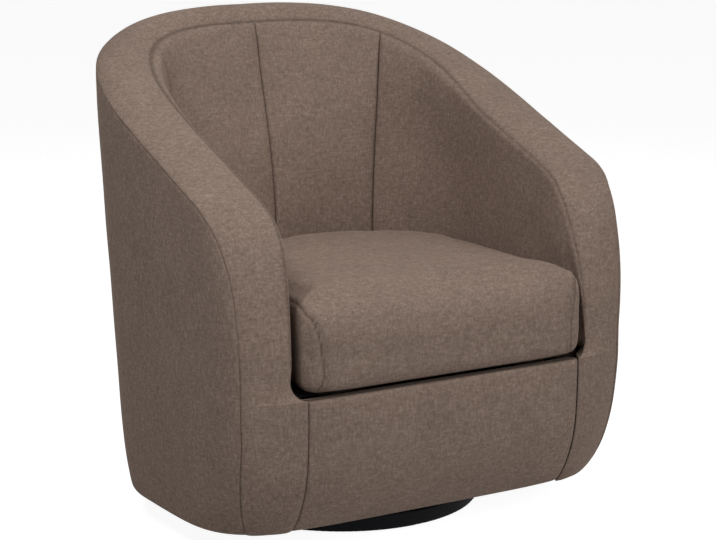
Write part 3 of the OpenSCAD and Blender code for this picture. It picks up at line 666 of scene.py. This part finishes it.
def padPoint(i, drop, sideways, back):
    top, foot, out, flat, frontY = padFacts(i)
    start = top.z - inside["topGap"]
    z = start - drop
    level = min(inside["level"], start - inside["levelDrop"])
    up = clamp01((z - level)/(start - level))**inside["spread"]
    deep = min(drop*flat, top.y - frontY)
    size = rollSize(i)
    if deep < size:
        roll = size*math.sqrt(1 - (1 - deep/size)**2)
    else:
        roll = size*(1 - smooth((deep - size)/inside["rollFall"]))
    roll *= smooth((z - level)/inside["rollFade"])
    hollow = inside["fullness"]*sideways*smooth(drop/inside["fullReach"])
    flatPoint = foot.lerp(Vector((top.x, top.y)), up)
    if back:
        flatPoint += out*(inside["thick"]*smooth(deep/inside["thickReach"]) + inside["thinnest"])
    else:
        flatPoint += out*(hollow - roll)
    q = Vector((flatPoint.x, flatPoint.y, z))
    if top.y < 0:  # behind the front panel the pad ends further back
        free = smooth((z - 2 - band["gapHeight"])/inside["footReach"])
        stop = mix(band["thick"] + inside["footBack"] - body["front"], -body["front"], free)
        q.y *= min(1, stop/frontY)
    return q


def makePad(name, node, first, last, seams, flip, columns):
    stations = ([first + e for e in padEdge] + spread(first + padEdge[-1], last - padEdge[-1], columns)[1:-1]
                + [last - e for e in reversed(padEdge)])
    fronts, backs, shades = [], [], []
    for i in stations:
        top, _, out, _, _ = padFacts(i)
        length = top.z - inside["topGap"] - inside["tuckHeight"]
        near = min((innerSeam(i) - innerSeam(e)).length for e in seams)
        share = 1 - clamp01(near/inside["fullSpan"])
        front, back, shade = [], [], []
        for drop in padDrops + spread(padDrops[-1], length, inside["rows"])[1:]:
            q = padPoint(i, drop, share**4, False)
            dip = inside["seamDip"]*gauss(near, inside["seamSoft"])*smooth(drop/inside["dipReach"])
            slow = inside["wave"]*noise.noise(q/inside["wavePitch"] + Vector((5, 2, 8)))
            quick = inside["ripple"]*noise.noise(q/inside["ripplePitch"])
            soft = (slow + quick)*smooth(drop/inside["waveReach"])*smooth(near/inside["waveAside"])
            q += Vector((out.x, out.y, 0))*(dip + soft)
            front.append(mirrored(q) if flip else q)
            b = padPoint(i, drop, share**4, True)
            back.append(mirrored(b) if flip else b)
            # Painted shade: dark lines below the band and along the upright seams, where shade falls in the
            # folds
            shade.append(max(paintedSeamLine(inside["topShade"], drop), paintedSeamLine(inside["sideShade"], near)))
        fronts.append(front)
        backs.append(back)
        shades.append(shade)
    piece = makePiece(name, slabShape(fronts, backs), "seat", [node], chenille,
                      faceShades(shades))


seam = inside["sideSeam"]
makePad("insideBackLeft", "inside_back_left", 0.0, seam, [0, seam], False, inside["backColumns"])
makePad("insideBackRight", "inside_back_right", 0.0, seam, [0, seam], True, inside["backColumns"])
stop = bendEnd - inside["frontStop"]
makePad("insideArmLeft", "inside_arm_left", seam, stop, [seam], False, inside["armColumns"])
makePad("insideArmRight", "inside_arm_right", seam, stop, [seam], True, inside["armColumns"])
print("inside pads done")

# Front panel between the band's feet: its top rolls into the gap, its lower edge turns under the board
panel = dict(
    halfWidth=244.4, thick=12, backDrop=6,
    tuck=1.016,  # widens its inner side, which closes the seams from behind
    topRound=7, roundRows=5, lip=((26, 4), (16, 1.2)), lipShadeDepth=3, lipShadeFade=4,
    fullness=2.5, fullReach=50, wave=0.8, wavePitch=100, seamDip=1.8, seamSoft=3.2, paintedShade=0.5,
    hemStart=5, hemTurn=((1.6, 1.6), (5, -0.4), (13, -0.7)), rows=30, columnStep=9,
)


def makeFrontPanel():
    top, hem = band["gapHeight"], body["hem"]
    turn, reach = panel["topRound"], panel["fullReach"]
    fronts, backs, shades = [], [], []
    for step in edgeSteps(2*panel["halfWidth"], panel["columnStep"]):
        x = step - panel["halfWidth"]
        near = panel["halfWidth"] - abs(x)
        front, back, shade = [], [], []
        sunk = panel["seamDip"]*gauss(near, panel["seamSoft"])
        for inward, down in panel["lip"]:
            front.append(Vector((x, faceY(x, top - turn) + inward, top - down)))
        for k in range(panel["roundRows"]):
            angle = math.radians(90 - 90*k/(panel["roundRows"] - 1))
            z = top - turn + turn*math.sin(angle)
            front.append(Vector((x, faceY(x, top - turn) + turn*(1 - math.cos(angle)) + sunk, z)))
        for k in range(1, panel["rows"]):
            z = mix(top - turn, hem + panel["hemStart"], k/(panel["rows"] - 1))
            full = panel["fullness"]*smooth((top - z)/reach)*smooth((z - hem)/reach)*smooth(near/reach)
            wave = panel["wave"]*noise.noise(Vector((x, 0, z))/panel["wavePitch"])
            front.append(Vector((x, faceY(x, z) + sunk - full - wave, z)))
        base = faceY(x, hem)
        front += [Vector((x, base + sunk + inward, hem + up)) for inward, up in panel["hemTurn"]]
        for q in front:
            behind = max(q.y, faceY(x, min(q.z, top))) + panel["thick"]
            back.append(Vector((q.x*panel["tuck"], behind, min(q.z, top - panel["backDrop"]))))
            # Painted shade: the lip in the gap under the cushion is darkened towards the near-black seam
            # colour, as are the side seams
            lipShade = smooth((q.z - top + panel["lipShadeDepth"])/panel["lipShadeFade"])
            shade.append(max(paintedSeamLine(panel["paintedShade"], near), lipShade))
        fronts.append(front)
        backs.append(back)
        shades.append(shade)
    piece = makePiece("frontPanel", slabShape(fronts, backs), "seat", ["front_panel"],
                      chenille, faceShades(shades))


makeFrontPanel()
print("front panel done")

# Loose seat cushion: D-shaped, crowned, with a waterfall front. One piece of cloth wraps over the top
# and front, and a shaped gusset closes each side
cushion = dict(
    halfWidth=245, back=207, front=326, frontPower=16, backPower=2.3, shift=5, pullX=5, pullY=-60,
    low=260.5, edge=139, crown=13, flare=17, flareLength=60, flareStart=-308,
    waterfallMiddle=56, waterfallSide=28, backFall=8, backFallStart=-60, backFallLength=230,
    shrink=3, voxel=6, pressure=4, mass=0.3, stretch=15, bend=0.5, quality=5, frames=20, cap=9, firm=1.5,
    relax=0.5, rounding=0.6, columns=144,
)
# Rings from the underside to the top's middle: share of the plan, of the edge's height and of the crown
cushionProfile = [
    (0.9, 0, 0), (0.905, 0.03, 0), (0.96, 0.055, 0), (0.985, 0.085, 0), (0.995, 0.14, 0), (1, 0.32, 0),
    (0.998, 0.55, 0), (1, 0.72, 0), (0.998, 0.82, 0), (0.992, 0.90, 0), (0.982, 0.96, 0.03),
    (0.966, 1, 0.10), (0.945, 1, 0.24), (0.92, 1, 0.38), (0.84, 1, 0.62), (0.70, 1, 0.80),
    (0.48, 1, 0.92), (0.25, 1, 0.98), (0.1, 1, 1.0),
]
gusset = dict(
    start=70, end=141, steps=59, share=0.975, rise=0.05, turnY=-300, pointStep=1.5,
    seamDip=2.2, seamSoft=3.0, paintedShade=0.5, shadeWidth=1.7,
    foldAside=9.5, foldDepth=0.4, foldFrom=-318,  # a fainter groove beside the seam, down the front, with a fainter line of painted shade
    underside=9, undersideFade=5,  # painted shade: the cloth up to this height is darkened towards the seam colour, where shade falls in the gap
)
gussetCorner = [  # the seam's points round the front corner and down the front face
    (249, -311, 397), (246, -321, 394), (243, -325, 389), (235, -327, 379), (230, -328, 363),
    (227, -328, 348), (222, -329, 317), (222, -328, 287), (227, -325, 272), (229, -318, 264),
]


def waterfall(x, y, front):  # how far the top has fallen where it rounds over the front
    r = mix(cushion["waterfallMiddle"], cushion["waterfallSide"], min(1, abs(x)/cushion["halfWidth"])**4)
    return r*(1 - math.sqrt(1 - clamp01(1 - (y + front)/r)**2))


def cushionPoint(degrees, share, edge, crown, inset=0.0):
    front = math.cos(math.radians(degrees)) < 0
    r = superellipse(degrees, cushion["halfWidth"] - inset,
                     (cushion["front"] if front else cushion["back"]) - inset,
                     cushion["frontPower"] if front else cushion["backPower"])
    x, y = r*math.sin(math.radians(degrees)), r*math.cos(math.radians(degrees))
    wider = 1 - smooth((y - cushion["flareStart"])/cushion["flareLength"])
    x *= 1 + cushion["flare"]/cushion["halfWidth"]*wider
    x += cushion["shift"]
    x = cushion["pullX"] + (x - cushion["pullX"])*share
    y = cushion["pullY"] + (y - cushion["pullY"])*share
    fall = waterfall(x, y, cushion["front"] - inset)*edge**2
    fall += cushion["backFall"]*smooth((y - cushion["backFallStart"])/cushion["backFallLength"])*edge
    height = cushion["low"] + inset*(1 - 2*edge) + cushion["edge"]*edge + cushion["crown"]*crown
    return Vector((x, y, height - fall))


def roundCushion(inset):
    columns = cushion["columns"]
    rings = [[cushionPoint(360*k/columns, share, edge, crown, inset) for k in range(columns)]
             for share, edge, crown in cushionProfile]
    return tubeShape(rings)


def inflate(piece):  # the cover is blown up as by its filling, and no point moves further than the cap
    scene = bpy.context.scene
    start = [(v.co.copy(), v.normal.copy()) for v in piece.data.vertices]
    cloth = piece.modifiers.new("cloth", "CLOTH")
    cloth.settings.quality = cushion["quality"]
    cloth.settings.mass = cushion["mass"]
    cloth.settings.tension_stiffness = cloth.settings.compression_stiffness = cushion["stretch"]
    cloth.settings.bending_stiffness = cushion["bend"]
    cloth.settings.use_pressure = True
    cloth.settings.uniform_pressure_force = cushion["pressure"]
    cloth.settings.effector_weights.gravity = 0
    cloth.collision_settings.use_collision = False
    for step in range(1, cushion["frames"] + 1):
        scene.frame_set(step)
    result = piece.evaluated_get(bpy.context.evaluated_depsgraph_get()).to_mesh()
    moved = [v.co.copy() for v in result.vertices]
    piece.modifiers.remove(cloth)
    scene.frame_set(1)
    cap, firm = cushion["cap"]*metre, cushion["firm"]*metre
    for vertex, (a, out), b in zip(piece.data.vertices, start, moved):
        way = b - a
        way -= out*min(0, way.dot(out) + firm)  # the foam inside doesn't give way further than this
        vertex.co = a + (way if way.length <= cap else way.normalized()*cap)


def remeshed(piece, voxel):
    step = piece.modifiers.new("remesh", "REMESH")
    step.mode = "VOXEL"
    step.voxel_size = voxel*metre
    result = piece.evaluated_get(bpy.context.evaluated_depsgraph_get())
    mesh = bpy.data.meshes.new_from_object(result)
    piece.modifiers.remove(step)
    return mesh


def gussetPath(side):  # from the back along the top's edge, over the front corner and down the front face
    path = [cushionPoint(side*degrees, gusset["share"], 1, gusset["rise"])
            for degrees in spread(gusset["start"], gusset["end"], gusset["steps"])]
    path = [q for q in path if q.y > gusset["turnY"]]
    path += [Vector((side*x + cushion["shift"]*(1 + side), y, z)) for x, y, z in gussetCorner]
    fine = []
    for a, b in zip(path, path[1:]):
        steps = max(1, round((b - a).length/gusset["pointStep"]))
        fine += [a.lerp(b, k/steps) for k in range(steps)]
    return fine


def sewGussets(piece):
    tree = BVHTree.FromObject(piece, bpy.context.evaluated_depsgraph_get())
    marks = []
    for side in (-1, 1):
        path = gussetPath(side)
        marks += [(tree.find_nearest(q*metre)[0], 1.0) for q in path]
        aside = Vector((-side*gusset["foldAside"], 0, 0))
        marks += [(tree.find_nearest((q + aside)*metre)[0], gusset["foldDepth"])
                  for q in path if q.y < gusset["foldFrom"]]
    finder = kdtree.KDTree(len(marks))
    for k, (q, weight) in enumerate(marks):
        finder.insert(q, k)
    finder.balance()
    shades = []
    normals = [v.normal.copy() for v in piece.data.vertices]
    for vertex, normal in zip(piece.data.vertices, normals):
        _, k, distance = finder.find(vertex.co)
        weight = marks[k][1]
        d = distance/metre
        vertex.co -= normal*gusset["seamDip"]*weight*gauss(d, gusset["seamSoft"])*metre
        # Painted shade: lines of shade along the gusset seams, and the lower edge that shows in the gap above
        # the front panel, darkened towards the near-black seam colour
        under = smooth((cushion["low"] + gusset["underside"] - vertex.co.z/metre)/gusset["undersideFade"])
        shades.append(max(gusset["paintedShade"]*weight*gauss(d, gusset["shadeWidth"]), under))
    shade = piece.data.attributes.new("paintedShade", "FLOAT", "POINT")
    shade.data.foreach_set("value", shades)


def makeCushion():
    inset = cushion["shrink"]
    piece = makePiece("seatCushion", roundCushion(inset), "cushion", ["seat_cushion"],
                      chenille, subdivide=0)
    bpy.context.view_layer.update()
    piece.data = remeshed(piece, cushion["voxel"])
    bpy.context.view_layer.update()
    inflate(piece)
    bpy.context.view_layer.update()
    build = bmesh.new()
    build.from_mesh(piece.data)
    bmesh.ops.smooth_vert(build, verts=build.verts, factor=cushion["relax"],
                          use_axis_x=True, use_axis_y=True, use_axis_z=True)
    bmesh.ops.subdivide_edges(build, edges=build.edges, cuts=1, use_grid_fill=True,
                              smooth=cushion["rounding"])
    build.to_mesh(piece.data)
    build.free()
    piece.data.shade_smooth()
    piece.data.materials.clear()
    piece.data.materials.append(chenille)
    bpy.context.view_layer.update()
    sewGussets(piece)
    return piece


seatCushion = makeCushion()
print("seat cushion done,", len(seatCushion.data.vertices), "vertices")

# Zip along the cushion's back: a folded tape with a row of teeth, laid on the finished cushion
zipper = dict(turn=44, height=311.5, edge=0.4, tape=(-5, -2.2, -1.2, 0, 1.2, 2.2, 5), tapeFade=7, proud=0.8,
              tooth=0.9, teethHalf=2, depth=1.2, rayStart=40, steps=180)


def makeZip():
    bpy.context.view_layer.update()
    tree = BVHTree.FromObject(seatCushion, bpy.context.evaluated_depsgraph_get())
    fronts, backs = [], []
    for k, degrees in enumerate(spread(-zipper["turn"], zipper["turn"], zipper["steps"])):
        far = cushionPoint(degrees, 1, zipper["edge"], 0)
        way = Vector((far.x, far.y, 0)).normalized()
        front, back = [], []
        for offset in zipper["tape"]:
            start = (Vector((far.x, far.y, zipper["height"] + offset)) + way*zipper["rayStart"])*metre
            hit = tree.ray_cast(start, -way)[0]
            tooth = zipper["tooth"] if abs(offset) < zipper["teethHalf"] and k % 2 == 0 else 0.0
            front.append(hit/metre + way*(zipper["proud"]*(1 - abs(offset)/zipper["tapeFade"]) + tooth))
            back.append(hit/metre - way*zipper["depth"])
        fronts.append(front)
        backs.append(back)
    makePiece("cushionZip", slabShape(fronts, backs), "cushion", ["cushion_zip"], lining,
              subdivide=0)


makeZip()
print("zip done")

# Deck cloth over the springs and dust cover under the board: thin lining, stretched and tacked
deck = dict(height=259.4, inset=2, backGap=3, frontGap=2, frontHeight=260, pitch=88, sag=2.2, narrowest=12,
            rows=64, columns=60)
cover = dict(height=44.5, inset=15.5, hole=30, rows=16, columns=144)


def makeDeck():
    rows, columns = deck["rows"], deck["columns"]
    half, far = inside["halfWidth"] - deck["inset"], inside["back"] - deck["inset"]
    front = halfFront(deck["frontHeight"]) - panel["thick"] - deck["frontGap"]
    points, faces = [], []
    for r in range(rows + 1):
        y = mix(-front + band["thick"], far - deck["backGap"], r/rows)
        reach = half*roundOff(y/far, inside["power"]) if y > 0 else half
        for c in range(columns + 1):
            s = 2*c/columns - 1
            x = s*max(reach, deck["narrowest"])
            wave = abs(math.sin(math.pi*(x/deck["pitch"] + 0.5)))  # it dips between the springs
            sag = deck["sag"]*wave*(1 - s**4)*math.sin(math.pi*r/rows)
            points.append(Vector((x, y, deck["height"] - sag)))
    for r in range(rows):
        for c in range(columns):
            a = r*(columns + 1) + c
            faces.append((a, a + 1, a + columns + 2, a + columns + 1))
    piece = makePiece("deckCloth", (points, faces), "seat", ["deck_cloth"], lining,
                      subdivide=0)


def makeDustCover():
    rows, columns = cover["rows"], cover["columns"]
    front = halfFront(body["hem"]) - panel["thick"] - cover["inset"]
    points, faces = [], []
    for r in range(rows + 1):
        for c in range(columns):
            degrees = 360*c/columns
            angle = math.radians(degrees)
            way = Vector((math.sin(angle), math.cos(angle), 0))
            far = outer(degrees if degrees <= 180 else 360 - degrees, body["hem"], cover["inset"])
            reach = math.hypot(far.x, far.y)
            if way.y < 0:
                reach = min(reach, front/-way.y)
            points.append(way*mix(cover["hole"], reach, r/rows) + Vector((0, 0, cover["height"])))
    for r in range(rows):
        for c in range(columns):
            a, b = r*columns + c, r*columns + (c + 1) % columns
            faces.append((a, b, b + columns, a + columns))
    piece = makePiece("dustCover", (points, faces), "seat", ["dust_cover"], lining,
                      subdivide=0)


makeDeck()
makeDustCover()
print("linings done")

# Studio: a pale floor that fades into a white surround, soft lamps and the photo's camera
studio = dict(floorRadius=14.0, floorSides=96, floorGlow=0.93, floorShade=0.40, bounce=0.6, surround=0.04)
lamps = {
    "above": dict(at=(0.3, -0.3, 2.9), aim=(0, 0, 0.3), size=2.2, power=17),
    "aboveLeft": dict(at=(-1.4, -0.9, 2.4), aim=(0, 0, 0.3), size=1.2, power=30),
    "front": dict(at=(0.0, -3.2, 1.6), aim=(0, 0, 0.4), size=2.0, power=12),
    "backRight": dict(at=(1.6, 2.0, 2.2), aim=(0, 0.1, 0.5), size=1.6, power=10),
    "rightFront": dict(at=(1.8, -2.4, 1.4), aim=(0, 0, 0.4), size=1.6, power=22),
}
view = dict(azimuth=-31.1016, pitch=12.2276, distance=3.62173, slide=0.026336, height=0.37365,
            focalPixels=2223.57, imageWidth=716, sensor=36, farthest=100)


def seenRays(tree):  # 1 for rays that the camera, a gloss or a clear material sends out
    path = addNode(tree, "ShaderNodeLightPath")
    seen = addNode(tree, "ShaderNodeMath", {
        0: path.outputs["Is Camera Ray"], 1: path.outputs["Is Glossy Ray"]}, operation="MAXIMUM")
    return addNode(tree, "ShaderNodeMath", {
        0: seen.outputs[0], 1: path.outputs["Is Transmission Ray"]}, operation="MAXIMUM").outputs[0]


def makeFloor():
    material, tree = newMaterial("whiteStudioFloor")
    bounce = addNode(tree, "ShaderNodeBsdfDiffuse", {"Color": (studio["bounce"],)*3 + (1,)})
    shaded = addNode(tree, "ShaderNodeBsdfDiffuse", {"Color": (studio["floorShade"],)*3 + (1,)})
    glow = addNode(tree, "ShaderNodeEmission", {"Color": (1, 1, 1, 1), "Strength": studio["floorGlow"]})
    both = addNode(tree, "ShaderNodeAddShader", {0: shaded.outputs[0], 1: glow.outputs[0]})
    choice = addNode(tree, "ShaderNodeMixShader", {
        0: seenRays(tree), 1: bounce.outputs[0], 2: both.outputs[0]})
    addNode(tree, "ShaderNodeOutputMaterial", {"Surface": choice.outputs[0]})
    count = studio["floorSides"]
    ring = [Vector((math.sin(2*math.pi*k/count), math.cos(2*math.pi*k/count), 0))*studio["floorRadius"]
            for k in range(count)]
    mesh = bpy.data.meshes.new("studioFloor")
    mesh.from_pydata(ring, [], [tuple(range(count - 1, -1, -1))])
    mesh.materials.append(material)
    floor = bpy.data.objects.new("studioFloor", mesh)
    bpy.context.collection.objects.link(floor)


def makeSurround():
    world = bpy.data.worlds.new("whiteSurround")
    bpy.context.scene.world = world
    world.use_nodes = True
    tree = world.node_tree
    tree.nodes.clear()
    soft = addNode(tree, "ShaderNodeBackground", {"Color": (1, 1, 1, 1), "Strength": studio["surround"]})
    white = addNode(tree, "ShaderNodeBackground", {"Color": (1, 1, 1, 1), "Strength": 1.0})
    choice = addNode(tree, "ShaderNodeMixShader", {
        0: seenRays(tree), 1: soft.outputs[0], 2: white.outputs[0]})
    addNode(tree, "ShaderNodeOutputWorld", {"Surface": choice.outputs[0]})


def makeLamp(name, at, aim, size, power):
    light = bpy.data.lights.new(name, "AREA")
    light.shape = "DISK"
    light.size = size
    light.energy = power
    lamp = bpy.data.objects.new(name, light)
    lamp.location = at
    lamp.rotation_euler = (Vector(aim) - Vector(at)).to_track_quat("-Z", "Y").to_euler()
    bpy.context.collection.objects.link(lamp)


def makeCamera():
    azimuth, pitch = math.radians(view["azimuth"]), math.radians(view["pitch"])
    back = Vector((math.sin(azimuth)*math.cos(pitch), -math.cos(azimuth)*math.cos(pitch), math.sin(pitch)))
    right = Vector((math.cos(azimuth), math.sin(azimuth), 0))
    up = back.cross(right)
    lens = bpy.data.cameras.new("photoCamera")
    lens.sensor_width = view["sensor"]
    lens.lens = view["focalPixels"]*view["sensor"]/view["imageWidth"]
    lens.clip_end = view["farthest"]
    camera = bpy.data.objects.new("photoCamera", lens)
    turn = Matrix((right, up, back)).transposed().to_4x4()
    spot = right*view["slide"] + back*view["distance"] + Vector((0, 0, view["height"]))
    camera.matrix_world = Matrix.Translation(spot) @ turn
    bpy.context.collection.objects.link(camera)
    bpy.context.scene.camera = camera


makeFloor()
makeSurround()
for name, lamp in lamps.items():
    makeLamp(name, **lamp)
makeCamera()
bpy.context.scene.view_settings.view_transform = "Standard"
print("studio done")

bpy.context.view_layer.update()
